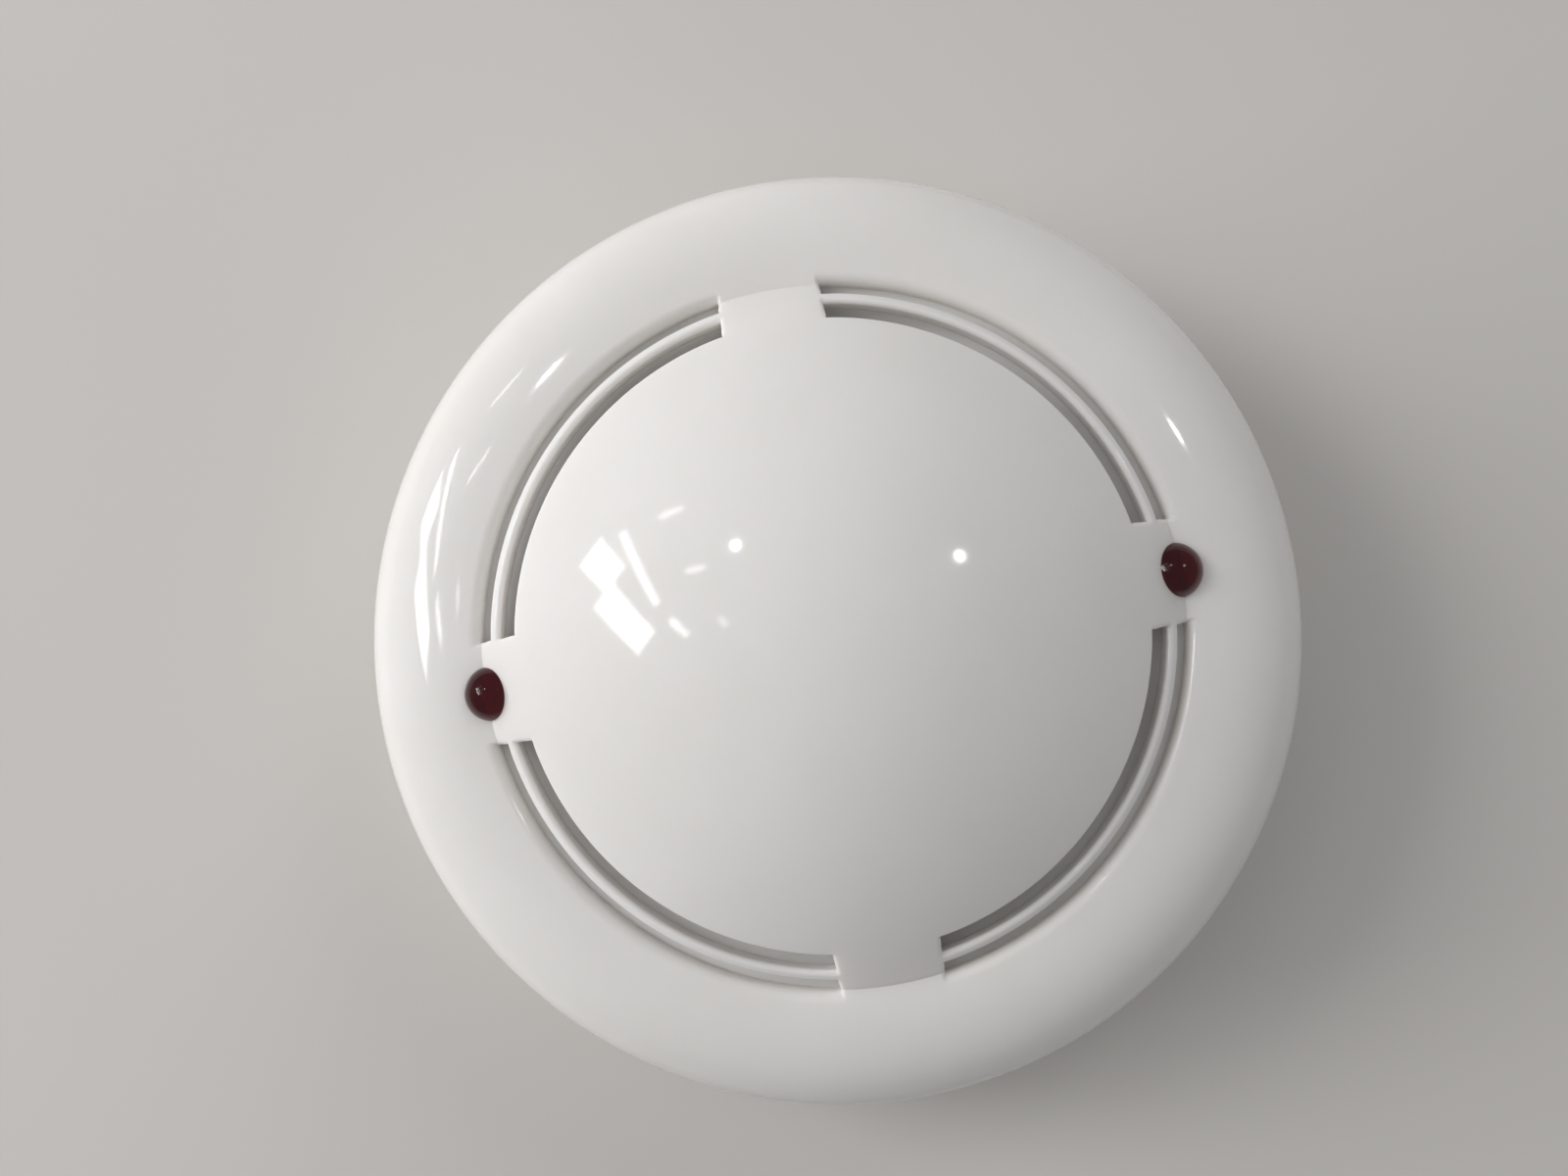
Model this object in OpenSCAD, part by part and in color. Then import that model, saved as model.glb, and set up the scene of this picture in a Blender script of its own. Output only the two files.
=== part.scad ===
// Plug-in heat detector: a round head that turns and locks into a ceiling base.
// The mounting face lies on z = 0, the domed cap points up, and the two
// indicator lenses lie on the X axis. Millimetres and degrees.

/* [Head] */
// Widest diameter of the head
head_d = 104; // [101:0.5:108]
// Height of the widest line above the head's rear edge
rim_rise = 10.4; // [9.5:0.1:12]
// Rise from the widest line to the top of the rolled body
roll_rise = 8.5; // [8:0.1:9.5]
// Width of the rolled body, from the widest line in to its level top
roll_w = 13; // [12.4:0.1:13.1]
// Squareness of the rolled section, where 2 is an ellipse
roll_power = 2.2; // [2:0.05:2.5]
// How far the rear edge sits inside the widest line
rear_inset = 1.8; // [1.4:0.1:2.4]
// Wall of the cover
cover_wall = 2; // [1.6:0.1:2.2]
// Floor of the groove around the cap
floor_t = 1.6; // [1.2:0.1:2]

/* [Domed cap] */
// Radius of the cap's spherical curve
cap_curve_r = 62; // [58:0.5:66]
// Distance from the body's level top in to the crease around the cap
crease_inset = 1.6; // [1.4:0.1:1.8]
// Distance from the crease in to the dome's edge in the windows
window_w = 4.2; // [4:0.1:4.6]
// Wall of the cap
cap_wall = 2; // [1.6:0.1:2.4]

/* [Windows] */
// Width of each bridge between two windows
bridge_w = 11.2; // [9:0.1:13]
// Radial gap between the dome and the louvre ring
inner_slot_w = 1.95; // [1.7:0.05:2]
// Width of the louvre ring
louvre_w = 1.15; // [0.9:0.05:1.3]
// Radial gap between the louvre ring and the body
slot_w = 1.45; // [1.2:0.05:1.6]
// Depth of the groove's floor below the body's top
groove_depth = 2; // [1.6:0.1:2.4]
// Gap under the louvre ring
louvre_lift = 0.8; // [0.5:0.1:1]
// Rounding of the body's edge at the groove
lip_r = 1.2; // [0.8:0.1:1.5]
// How far the groove's floor reaches in under the dome
floor_lap = 2.7; // [2.4:0.1:3]

/* [Indicator lenses] */
// Diameter of each lens
lens_d = 6.1; // [5.4:0.1:6.6]
// How far the centre of each lens lies inside the crease
lens_inset = 0.45; // [0.3:0.05:0.8]
// Depth of the lens dome's centre below the body's top
lens_drop = 0.76; // [0.4:0.02:1.2]
// Clearance around each lens
lens_fit = 0.05; // [0.02:0.01:0.1]
// Width that the lens flange stands out under the floor
lens_flange_w = 1; // [0.6:0.1:1.1]
// Thickness of the lens flange
lens_flange_t = 1; // [0.8:0.1:1.4]

/* [Base] */
// How far the base's skirt lies inside the head's rear edge
base_inset = 0.4; // [0.2:0.1:1]
// Height of the base's skirt
base_h = 9.6; // [9.4:0.1:11]
// Wall of the base's skirt
skirt_wall = 2; // [1.6:0.1:2.4]
// Thickness of the base plate
plate_t = 2.2; // [1.8:0.1:2.6]
// Visible gap between the base and the head
split_gap = 0.5; // [0.4:0.05:0.8]
// Diameter of the cable entry
cable_d = 22; // [18:0.5:25]
// Distance between the slots on the X axis
fixing_x = 60; // [57:0.5:63]
// Distance between the slots on the Y axis
fixing_y = 50; // [48:0.5:54]
// Width of each fixing slot
fixing_w = 4.5; // [4:0.1:5]
// End-to-end length of each fixing slot
fixing_l = 12; // [9:0.5:13]

/* [Bayonet] */
// Turn from locked to free
turn_deg = 18; // [16:0.5:20]
// Width of each lug
lug_deg = 16; // [13:0.5:17]
// Thickness of each lug
lug_t = 1.8; // [1.4:0.1:2]
// Wall of the spigot
spigot_wall = 1.9; // [1.5:0.1:2.2]
// How far each lug stands out of the spigot
lug_w = 2.4; // [2:0.1:2.6]
// Thickness of each retaining tab
tab_t = 1.6; // [1.3:0.1:1.9]
// Wall of the base's bayonet ring
ring_wall = 2; // [1.6:0.1:2.2]
// Clearance between the base's bayonet ring and the cover screws' heads
ring_clearance = 0.6; // [0.5:0.1:0.8]
// Running clearance of the bayonet
bayonet_gap = 0.3; // [0.2:0.05:0.4]

/* [Contacts] */
// Distance from the inside of the spigot in to the contacts' pitch circle
contact_inset = 4.2; // [4:0.1:4.6]
// Thickness of each blade
blade_t = 0.8; // [0.6:0.05:1]
// Half of the angle that a blade spans
blade_half_deg = 4; // [3:0.1:4.5]
// Distance of each blade's tip from the spring's web
blade_tip_gap = 1.2; // [0.6:0.1:2]
// Thickness of the spring leaves
leaf_t = 0.6; // [0.4:0.05:0.7]
// Gap between a blade and each spring leaf
leaf_gap = 0.2; // [0.1:0.02:0.3]
// Half of the angle that a spring's leaves span
leaf_half_deg = 7; // [6:0.1:7.5]
// Height of the spring leaves above the pad
leaf_h = 5; // [4:0.1:5.2]
// Height of the pad under each spring
pad_h = 1.2; // [1:0.1:1.6]
// Radial width of the spring's foot
foot_w = 5.6; // [5:0.1:6.2]
// Angle from the blade back to the terminal screw
screw_back_deg = 20; // [19:0.5:21]
// Side of the square clamp plate
clamp_w = 7.4; // [6.8:0.1:7.8]
// Thickness of the clamp plate
clamp_t = 1.2; // [1:0.1:1.5]
// Shank diameter of the terminal screws
terminal_d = 3; // [2.6:0.1:3.4]
// Head diameter of the terminal screws
terminal_head_d = 6; // [5.4:0.1:6.6]
// Head height of the terminal screws
terminal_head_h = 1.9; // [1.5:0.1:2.1]

/* [Chassis and board] */
// Thickness of the chassis plate
chassis_t = 2; // [1.6:0.1:2.4]
// Clearance around the chassis inside the cover
chassis_fit = 0.2; // [0.1:0.05:0.3]
// Distance from the inside of the head's rear edge in to the screw bosses
boss_inset = 4.27; // [4.1:0.05:4.4]
// Diameter of the cover's screw bosses
boss_d = 6; // [5:0.1:6.2]
// Shank diameter of the cover screws
cover_screw_d = 2.7; // [2.4:0.1:3]
// Length of the cover screws under the head
cover_screw_l = 9; // [7:0.5:11]
// Height of the board above the chassis
board_lift = 3.4; // [3:0.1:4]
// Thickness of the circuit board
board_t = 1.6; // [1.2:0.1:1.8]
// Clearance between the board and the bosses
board_gap = 0.3; // [0.2:0.05:0.5]
// Distance from the contacts' pitch circle in to the board screws
board_screw_inset = 8; // [7:0.5:9]
// Shank diameter of the board screws
board_screw_d = 2.4; // [2:0.1:2.6]
// Length of the board screws under the head
board_screw_l = 4.6; // [4:0.1:4.8]

/* [Sensors and parts on the board] */
// Thickness of the baffle under the sensing chamber
baffle_t = 1.6; // [1.2:0.1:1.8]
// Height of the baffle's spigot in the floor's opening
baffle_spigot_h = 0.8; // [0.6:0.1:1.2]
// Distance from the contacts' pitch circle in to the baffle's legs
leg_inset = 12; // [11:0.5:12.5]
// Inside diameter of the chimney around the sensing leads
chimney_d = 3.2; // [2.8:0.1:4]
// Height of the chimney above the baffle
chimney_h = 6; // [4:0.5:7]
// Diameter of each thermistor bead
bead_d = 2.8; // [2.2:0.1:3.2]
// Gap between the sensing bead and the inside of the domed cap
bead_gap = 2.2; // [1.6:0.1:3]
// Height of the reference bead's foot above the board
reference_lift = 2.4; // [1.6:0.1:2.8]
// Diameter of a thermistor wire
wire_d = 0.5; // [0.4:0.05:0.6]
// Distance between the two wires of a thermistor
wire_pitch = 1.27; // [1.1:0.01:1.5]
// Height of each indicator diode
led_h = 1.9; // [1.6:0.1:2.4]
// Gap between a diode and its lens
led_gap = 0.3; // [0.2:0.05:0.5]
// Diameter of the smoothing capacitor
can_d = 6.3; // [5:0.1:6.5]
// Height of the smoothing capacitor
can_h = 5.3; // [4.5:0.1:5.5]
// Length of the reed capsule
reed_l = 12; // [10:0.5:13]
// Diameter of the reed capsule
reed_d = 2.2; // [1.8:0.1:2.4]

/* [Hidden] */
$fn = 96;

// Small overlap that joins the solids of one piece
weld = 0.2;
// Clearance of a screw's thread in its pilot hole
thread_fit = 0.05;
// Clearance of a shank or a tab in the hole that it passes through
pass_fit = 0.2;

// Screw and rivet heads
rivet_d = 2.4;
rivet_head_d = 3.6;
rivet_head_t = 0.8;
cover_head_d = 4.8;
cover_head_h = 1.8;
board_head_d = 4.4;
board_head_h = 1.5;
drive_w = 0.7;
drive_depth = 0.8;

// Radii of the body, the cap and the windows, from the widest line inwards
rim_r = head_d / 2;
rear_r = rim_r - rear_inset;
crest_r = rim_r - roll_w;
cap_r = crest_r - crease_inset;
dome_r = cap_r - window_w;
chamber_r = dome_r - floor_lap;
louvre_in_r = dome_r + inner_slot_w;
louvre_out_r = louvre_in_r + louvre_w;
slot_r = louvre_out_r + slot_w;
lens_rad = lens_d / 2;
lens_r = cap_r - lens_inset;

// Section of the rolled body
side_curve_r = (pow(rear_inset, 2) + pow(rim_rise, 2)) / (2 * rear_inset);
side_centre_r = rim_r - side_curve_r;
rear_in_r = side_centre_r + sqrt(pow(side_curve_r - cover_wall, 2) - pow(rim_rise, 2));

// Radii of the back, from the rear edge inwards
chassis_r = rear_in_r - chassis_fit;
base_r = rear_r - base_inset;
skirt_in_r = base_r - skirt_wall;
boss_r = rear_in_r - boss_inset;
board_r = boss_r - boss_d / 2 - board_gap;
ring_out_r = boss_r - cover_head_d / 2 - ring_clearance;
ring_in_r = ring_out_r - ring_wall;
lug_r = ring_in_r - bayonet_gap;
spigot_r = lug_r - lug_w;
tab_in_r = spigot_r + bayonet_gap;
contact_r = spigot_r - spigot_wall - contact_inset;
board_screw_r = contact_r - board_screw_inset;
leg_r = contact_r - leg_inset;

// Heights, from the ceiling outwards
head_z = base_h + split_gap;
ring_top = head_z - bayonet_gap;
lug_top = ring_top - tab_t - bayonet_gap;
lug_z = lug_top - lug_t;
pad_z = plate_t + pad_h;
web_z = pad_z + leaf_t;
clamp_top = web_z + clamp_t;
chassis_z = head_z + chassis_t;
board_z = chassis_z + board_lift;
board_top = board_z + board_t;
rim_z = head_z + rim_rise;
crest_z = rim_z + roll_rise;
groove_z = crest_z - groove_depth;
floor_z = groove_z - floor_t;
baffle_z = floor_z - baffle_t;
cap_centre_z = crest_z - sqrt(pow(cap_curve_r, 2) - pow(cap_r, 2));
lens_z = crest_z - lens_drop;
led_top = board_top + led_h;
bead_h = 0.9 * bead_d;
bead_z = cap_centre_z + cap_curve_r - cap_wall - bead_gap - bead_h;
reference_z = board_top + reference_lift;

// Places round the axis
bridge_angles = [0, 90, 180, 270];
contact_angles = [45, 135, 225, 315];
boss_angles = [90, 210, 330];
lug_angles = [30, 150, 270];
board_screw_angles = [60, 180, 300];
leg_angles = [0, 120, 240];
stop_deg = 3;
stop_gap_deg = 0.5;
slot_gap_deg = 0.5;
foot_half_deg = 8;
rivet_deg = 7.8;
tail_deg = 13.2;
tail_half_deg = 1.5;

// Baffle and posts
leg_d = 3;
post_d = 6;
baffle_lap = 1.5;
baffle_fit = 0.2;
chimney_wall = 0.9;
wire_tail = 0.8;

// Parts on the board: places, and sizes as length, width and height
part_row_y = contact_r - 6;
resistor_row_y = contact_r / 2 - 1;
reference_at = [-13, 7];
reed_at = [0, contact_r + 3];
reed_lift = 0.6;
reed_lead = 2.4;
controller_at = [11, -7];
controller_size = [10.3, 7.5, 2.3];
comparator_at = [-12, -7];
comparator_size = [5, 4, 1.6];
leg_pitch = 1.27;
chip_leg = [0.4, 1.3, 0.3];
rectifier_at = [-3, -part_row_y];
rectifier_size = [8.2, 6.2, 2.5];
rectifier_leg = [1.2, 1.6, 0.4];
rectifier_leg_at = [2.5, 3.7];
suppressor_at = [9, -part_row_y];
suppressor_size = [4.4, 3.7, 2.3];
suppressor_leg = [6.2, 2, 0.4];
can_at = [15, 9];
can_foot_h = 0.8;
line_capacitor_at = [-3, part_row_y];
line_capacitor_size = [7.3, 4.3, 2.8];
resistor_start_x = -3.4;
resistor_pitch = 1.9;
resistor_size = [1.1, 2, 0.55];
diode_size = [3.2, 2.8, led_h - 0.3];
diode_window_d = 2.4;

// Point of the rolled section at parameter t, 0 at the rim and 90 at the crest
function roll(t, w, h) = [
    crest_r + w * pow(cos(t), 2 / roll_power),
    rim_z + h * pow(sin(t), 2 / roll_power)
];

// Points of an arc in the section plane
function arc(c, r, a, b, n) = [
    for (i = [0 : n])
        let (t = a + (b - a) * i / n)
            [c[0] + r * cos(t), c[1] + r * sin(t)]
];

// Outside of the rolled body, from the rear edge to the crest
function body_outside() = concat(
    arc([side_centre_r, rim_z], side_curve_r, -asin(rim_rise / side_curve_r), 0, 8),
    [for (t = [5 : 5 : 90]) roll(t, roll_w, roll_rise)]
);

// Inside of the rolled body, from the crest back to the rear edge
function body_inside() = concat(
    [for (t = [85 : -5 : 5]) roll(t, roll_w - cover_wall, roll_rise - cover_wall)],
    arc(
        [side_centre_r, rim_z], side_curve_r - cover_wall,
        0, -asin(rim_rise / (side_curve_r - cover_wall)), 8
    )
);

// Ring sector between two radii, two heights and two angles
module sector(r1, r2, z1, z2, a1, a2) {
    rotate([0, 0, a1])
        rotate_extrude(angle = a2 - a1)
            translate([r1, z1])
                square([r2 - r1, z2 - z1]);
}

// Full ring between two radii and two heights
module ring(r1, r2, z1, z2) {
    rotate_extrude()
        translate([r1, z1])
            square([r2 - r1, z2 - z1]);
}

// Pan-head screw with its head up, the head's seat on the origin
module screw(shank_d, shank_l, screw_head_d, screw_head_h) {
    difference() {
        union() {
            translate([0, 0, -shank_l])
                cylinder(h = shank_l + weld, d = shank_d);
            cylinder(h = screw_head_h, d = screw_head_d);
        }
        for (a = [0, 90])
            rotate([0, 0, a])
                translate([-screw_head_d * 0.36, -drive_w / 2, screw_head_h - drive_depth])
                    cube([screw_head_d * 0.72, drive_w, drive_depth + weld]);
    }
}

// Polar placing on the XY plane
module at_polar(r, a) {
    rotate([0, 0, a])
        translate([r, 0, 0])
            children();
}

// Slot through the base plate, centred on the origin and running along X
module fixing_slot() {
    straight = fixing_l - fixing_w;
    for (s = [-1, 1])
        translate([s * straight / 2, 0, -weld])
            cylinder(h = plate_t + 2 * weld, d = fixing_w);
    translate([-straight / 2, -fixing_w / 2, -weld])
        cube([straight, fixing_w, plate_t + 2 * weld]);
}

// ---- Base ----

module mounting_base() {
    color("#e9e7e1")
        difference() {
            union() {
                cylinder(h = plate_t, r = base_r);
                ring(skirt_in_r, base_r, 0, base_h);
                ring(ring_in_r, ring_out_r, plate_t - weld, ring_top);
                for (a = lug_angles)
                    bayonet_channel(a);
                for (a = contact_angles)
                    sector(
                        contact_r - foot_w / 2, contact_r + foot_w / 2, plate_t - weld, pad_z,
                        a - screw_back_deg - foot_half_deg, a + leaf_half_deg
                    );
            }
            translate([0, 0, -weld])
                cylinder(h = plate_t + 2 * weld, d = cable_d);
            for (s = [-1, 1]) {
                translate([s * fixing_x / 2, 0, 0])
                    fixing_slot();
                translate([0, s * fixing_y / 2, 0])
                    rotate([0, 0, 90])
                        fixing_slot();
            }
            for (a = contact_angles)
                at_polar(contact_r, a - screw_back_deg)
                    translate([0, 0, plate_t / 2])
                        cylinder(h = pad_z, d = terminal_d + 2 * pass_fit);
        }
}

// Retaining tab over one lug and the two stops at the ends of its travel
module bayonet_channel(a) {
    lock_stop = a - lug_deg / 2 - stop_gap_deg;
    free_stop = a + lug_deg / 2 + turn_deg + stop_gap_deg;
    sector(
        tab_in_r, ring_in_r + weld, ring_top - tab_t, ring_top,
        lock_stop - stop_deg / 2, a + lug_deg / 2 + stop_gap_deg
    );
    sector(
        tab_in_r, ring_in_r + weld, plate_t - weld, ring_top - tab_t / 2,
        lock_stop - stop_deg, lock_stop
    );
    sector(
        tab_in_r, ring_in_r + weld, plate_t - weld, ring_top,
        free_stop, free_stop + stop_deg
    );
}

// Folded leaf contact: foot under the clamp plate, strap, and a channel of two leaves
module contact_spring(i) {
    a = contact_angles[i - 1];
    slot_half = blade_t / 2 + leaf_gap;
    strap_half = slot_half + leaf_t / 2;
    channel_half = slot_half + leaf_t;
    color("#c9a24b")
        difference() {
            union() {
                sector(
                    contact_r - foot_w / 2, contact_r + foot_w / 2, pad_z, web_z,
                    a - screw_back_deg - foot_half_deg, a - screw_back_deg + foot_half_deg
                );
                sector(
                    contact_r - strap_half, contact_r + strap_half, pad_z, web_z - weld / 2,
                    a - screw_back_deg + foot_half_deg / 2, a
                );
                rotate([0, 0, a - leaf_half_deg])
                    rotate_extrude(angle = 2 * leaf_half_deg)
                        translate([contact_r, pad_z])
                            polygon([
                                [-channel_half, 0], [channel_half, 0],
                                [channel_half, leaf_h], [slot_half, leaf_h],
                                [slot_half, leaf_t], [-slot_half, leaf_t],
                                [-slot_half, leaf_h], [-channel_half, leaf_h]
                            ]);
            }
            at_polar(contact_r, a - screw_back_deg)
                translate([0, 0, pad_z - weld])
                    cylinder(h = leaf_t + 2 * weld, d = terminal_d + 2 * thread_fit);
        }
}

// Square washer that holds the cable on the foot
module clamp_plate(i) {
    color("#b9bcc0")
        at_polar(contact_r, contact_angles[i - 1] - screw_back_deg)
            difference() {
                translate([-clamp_w / 2, -clamp_w / 2, web_z])
                    cube([clamp_w, clamp_w, clamp_t]);
                translate([0, 0, web_z - weld])
                    cylinder(h = clamp_t + 2 * weld, d = terminal_d + 2 * pass_fit);
            }
}

module terminal_screws() {
    color("#a9acb0")
        for (a = contact_angles)
            at_polar(contact_r, a - screw_back_deg)
                translate([0, 0, clamp_top])
                    screw(
                        terminal_d, clamp_top - plate_t / 2 - pass_fit,
                        terminal_head_d, terminal_head_h
                    );
}

// ---- Head ----

// Ball that the outside of the cap lies on
module cap_ball(r) {
    translate([0, 0, cap_centre_z])
        sphere(r = r, $fn = 200);
}

// Domed cap inside the windows
module dome() {
    difference() {
        intersection() {
            cap_ball(cap_curve_r);
            translate([0, 0, groove_z])
                cylinder(h = cap_curve_r, r = dome_r);
        }
        cap_ball(cap_curve_r - cap_wall);
    }
}

// Louvre ring, its top on the same ball as the dome
module louvre() {
    intersection() {
        cap_ball(cap_curve_r);
        ring(louvre_in_r, louvre_out_r, groove_z + louvre_lift, crest_z + roll_rise);
    }
}

// Bridges that carry the dome and the louvre, with their feet in the body
module bridges() {
    root_r = dome_r - cap_wall;
    for (a = bridge_angles)
        rotate([0, 0, a])
            intersection() {
                translate([0, -bridge_w / 2, floor_z + weld])
                    cube([rim_r, bridge_w, rim_r]);
                union() {
                    intersection() {
                        cap_ball(cap_curve_r);
                        ring(root_r, cap_r + weld, floor_z, crest_z + roll_rise);
                    }
                    ring(louvre_out_r, crest_r, floor_z, crest_z);
                }
            }
}

// Cover wall with the groove's floor, one closed section turned round the axis
module cover_wall_section() {
    rotate_extrude()
        polygon(concat(
            body_outside(),
            arc([slot_r + lip_r, crest_z - lip_r], lip_r, 90, 180, 6),
            [
                [slot_r, groove_z],
                [chamber_r, groove_z],
                [chamber_r, floor_z],
                [slot_r + cover_wall, floor_z]
            ],
            body_inside()
        ));
}

// Solid inside of the rolled body, which trims the screw bosses
module cover_envelope() {
    rotate_extrude()
        polygon(concat(
            body_outside(),
            [[slot_r, crest_z - lip_r], [slot_r, head_z]]
        ));
}

module cover() {
    color("#eceae5")
        difference() {
            union() {
                cover_wall_section();
                dome();
                louvre();
                bridges();
                intersection() {
                    cover_envelope();
                    for (a = boss_angles)
                        at_polar(boss_r, a)
                            translate([0, 0, chassis_z])
                                cylinder(h = groove_z - chassis_z, d = boss_d);
                }
            }
            for (s = [-1, 1])
                translate([s * lens_r, 0, 0]) {
                    translate([0, 0, floor_z - weld])
                        cylinder(h = lens_z - floor_z + weld, r = lens_rad + lens_fit);
                    translate([0, 0, lens_z])
                        sphere(r = lens_rad + lens_fit);
                }
            for (a = boss_angles)
                at_polar(boss_r, a)
                    translate([0, 0, chassis_z - weld])
                        cylinder(
                            h = cover_screw_l - chassis_t + 1,
                            d = cover_screw_d + 2 * thread_fit
                        );
        }
}

// Moulded back of the head: plate, spigot, lugs and board posts
module chassis() {
    color("#d9d8d3")
        difference() {
            union() {
                translate([0, 0, head_z])
                    cylinder(h = chassis_t, r = chassis_r);
                ring(spigot_r - spigot_wall, spigot_r, lug_z, head_z + weld);
                for (a = lug_angles)
                    sector(
                        spigot_r - weld, lug_r, lug_z, lug_top,
                        a - lug_deg / 2, a + lug_deg / 2
                    );
                for (a = board_screw_angles)
                    at_polar(board_screw_r, a)
                        translate([0, 0, chassis_z - weld])
                            cylinder(h = board_lift + weld, d = post_d);
            }
            for (a = board_screw_angles)
                at_polar(board_screw_r, a)
                    translate([0, 0, board_z - board_screw_l + board_t - weld])
                        cylinder(h = board_screw_l, d = board_screw_d + 2 * thread_fit);
            for (a = boss_angles)
                at_polar(boss_r, a)
                    translate([0, 0, head_z - weld])
                        cylinder(h = chassis_t + 2 * weld, d = cover_screw_d + 2 * pass_fit);
            for (a = contact_angles) {
                sector(
                    contact_r - blade_t / 2 - pass_fit, contact_r + blade_t / 2 + pass_fit,
                    head_z - weld, chassis_z + weld,
                    a - blade_half_deg - slot_gap_deg, a + blade_half_deg + slot_gap_deg
                );
                at_polar(contact_r, a + rivet_deg)
                    translate([0, 0, head_z - weld])
                        cylinder(h = chassis_t + 2 * weld, d = rivet_d + 2 * thread_fit);
            }
        }
}

module cover_screws() {
    color("#a9acb0")
        for (a = boss_angles)
            at_polar(boss_r, a)
                translate([0, 0, head_z])
                    mirror([0, 0, 1])
                        screw(cover_screw_d, cover_screw_l, cover_head_d, cover_head_h);
}

// Blade that plugs into a spring, its riveted foot, and its tail in the board
module contact_blade(i) {
    a = contact_angles[i - 1];
    foot_top = chassis_z + blade_t;
    color("#d8c27a")
        difference() {
            union() {
                sector(
                    contact_r - blade_t / 2, contact_r + blade_t / 2,
                    web_z + blade_tip_gap, foot_top,
                    a - blade_half_deg, a + blade_half_deg
                );
                sector(
                    contact_r - foot_w / 2, contact_r + foot_w / 2, chassis_z, foot_top,
                    a - blade_half_deg, a + tail_deg + tail_half_deg
                );
                sector(
                    contact_r - blade_t / 2, contact_r + blade_t / 2,
                    chassis_z, board_top + wire_tail,
                    a + tail_deg - tail_half_deg, a + tail_deg + tail_half_deg
                );
            }
            at_polar(contact_r, a + rivet_deg)
                translate([0, 0, chassis_z - weld])
                    cylinder(h = blade_t + 2 * weld, d = rivet_d + 2 * thread_fit);
        }
}

module blade_rivets() {
    color("#b9bcc0")
        for (a = contact_angles)
            at_polar(contact_r, a + rivet_deg) {
                translate([0, 0, head_z - rivet_head_t])
                    cylinder(h = rivet_head_t, d = rivet_head_d);
                translate([0, 0, head_z - rivet_head_t])
                    cylinder(h = rivet_head_t + chassis_t + blade_t + weld, d = rivet_d);
                translate([0, 0, chassis_z + blade_t])
                    cylinder(h = rivet_head_t, d = rivet_head_d);
            }
}

module circuit_board() {
    color("#2f6b3c")
        difference() {
            translate([0, 0, board_z])
                cylinder(h = board_t, r = board_r);
            for (a = board_screw_angles)
                at_polar(board_screw_r, a)
                    translate([0, 0, board_z - weld])
                        cylinder(h = board_t + 2 * weld, d = board_screw_d + 2 * pass_fit);
            for (a = contact_angles)
                sector(
                    contact_r - blade_t / 2 - pass_fit, contact_r + blade_t / 2 + pass_fit,
                    board_z - weld, board_top + weld,
                    a + tail_deg - tail_half_deg - slot_gap_deg,
                    a + tail_deg + tail_half_deg + slot_gap_deg
                );
            for (c = [[0, 0], reference_at], s = [-1, 1])
                translate([c[0] + s * wire_pitch / 2, c[1], board_z - weld])
                    cylinder(h = board_t + 2 * weld, d = wire_d + 2 * thread_fit);
        }
}

module board_screws() {
    color("#a9acb0")
        for (a = board_screw_angles)
            at_polar(board_screw_r, a)
                translate([0, 0, board_top])
                    screw(board_screw_d, board_screw_l, board_head_d, board_head_h);
}

// Plate that closes the sensing chamber, with its chimney and its three legs
module sensor_baffle() {
    color("#e3e1dc")
        difference() {
            union() {
                translate([0, 0, baffle_z])
                    cylinder(h = baffle_t, r = chamber_r + baffle_lap);
                translate([0, 0, baffle_z])
                    cylinder(h = baffle_t + baffle_spigot_h, r = chamber_r - baffle_fit);
                translate([0, 0, baffle_z])
                    cylinder(h = baffle_t + chimney_h, d = chimney_d + 2 * chimney_wall);
                for (a = leg_angles)
                    at_polar(leg_r, a)
                        translate([0, 0, board_top])
                            cylinder(h = baffle_z + weld - board_top, d = leg_d);
            }
            translate([0, 0, baffle_z - weld])
                cylinder(h = baffle_t + chimney_h + 2 * weld, d = chimney_d);
        }
}

// Epoxy drop of a thermistor, standing on its flat foot
module bead(z) {
    color("#20262b")
        translate([0, 0, z])
            rotate_extrude()
                intersection() {
                    translate([0, bead_d * 0.4])
                        circle(d = bead_d);
                    square([bead_d, bead_d * 2]);
                }
}

// Two straight wires from the board up to a bead
module wire_pair(z) {
    color("#c4c7ca")
        for (s = [-1, 1])
            translate([s * wire_pitch / 2, 0, board_z - wire_tail])
                cylinder(h = z - board_z + wire_tail, d = wire_d);
}

module sensing_thermistor() {
    bead(bead_z);
}

module sensing_leads() {
    wire_pair(bead_z);
}

module reference_thermistor() {
    translate([reference_at[0], reference_at[1], 0])
        bead(reference_z);
}

module reference_leads() {
    translate([reference_at[0], reference_at[1], 0])
        wire_pair(reference_z);
}

// Surface-mounted diode: body and a low round window
module indicator_diode(side) {
    color("#d9d2c4")
        translate([side * lens_r, 0, board_top]) {
            translate([-diode_size[0] / 2, -diode_size[1] / 2, 0])
                cube(diode_size);
            cylinder(h = led_h, d = diode_window_d);
        }
}

// Light pipe whose domed end shows on a bridge
module indicator_lens(side) {
    color("#5a0a10")
        translate([side * lens_r, 0, 0]) {
            translate([0, 0, lens_z])
                sphere(r = lens_rad);
            translate([0, 0, led_top + led_gap])
                cylinder(h = lens_z - led_top - led_gap, r = lens_rad);
            translate([0, 0, floor_z - lens_flange_t])
                cylinder(h = lens_flange_t, r = lens_rad + lens_flange_w);
        }
}

// Box that stands on the board, centred on a point
module on_board(at, size) {
    translate([at[0] - size[0] / 2, at[1] - size[1] / 2, board_top])
        cube(size);
}

module controller_chip() {
    color("#26282b")
        on_board(controller_at, controller_size);
}

module comparator_chip() {
    color("#26282b")
        on_board(comparator_at, comparator_size);
}

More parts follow.
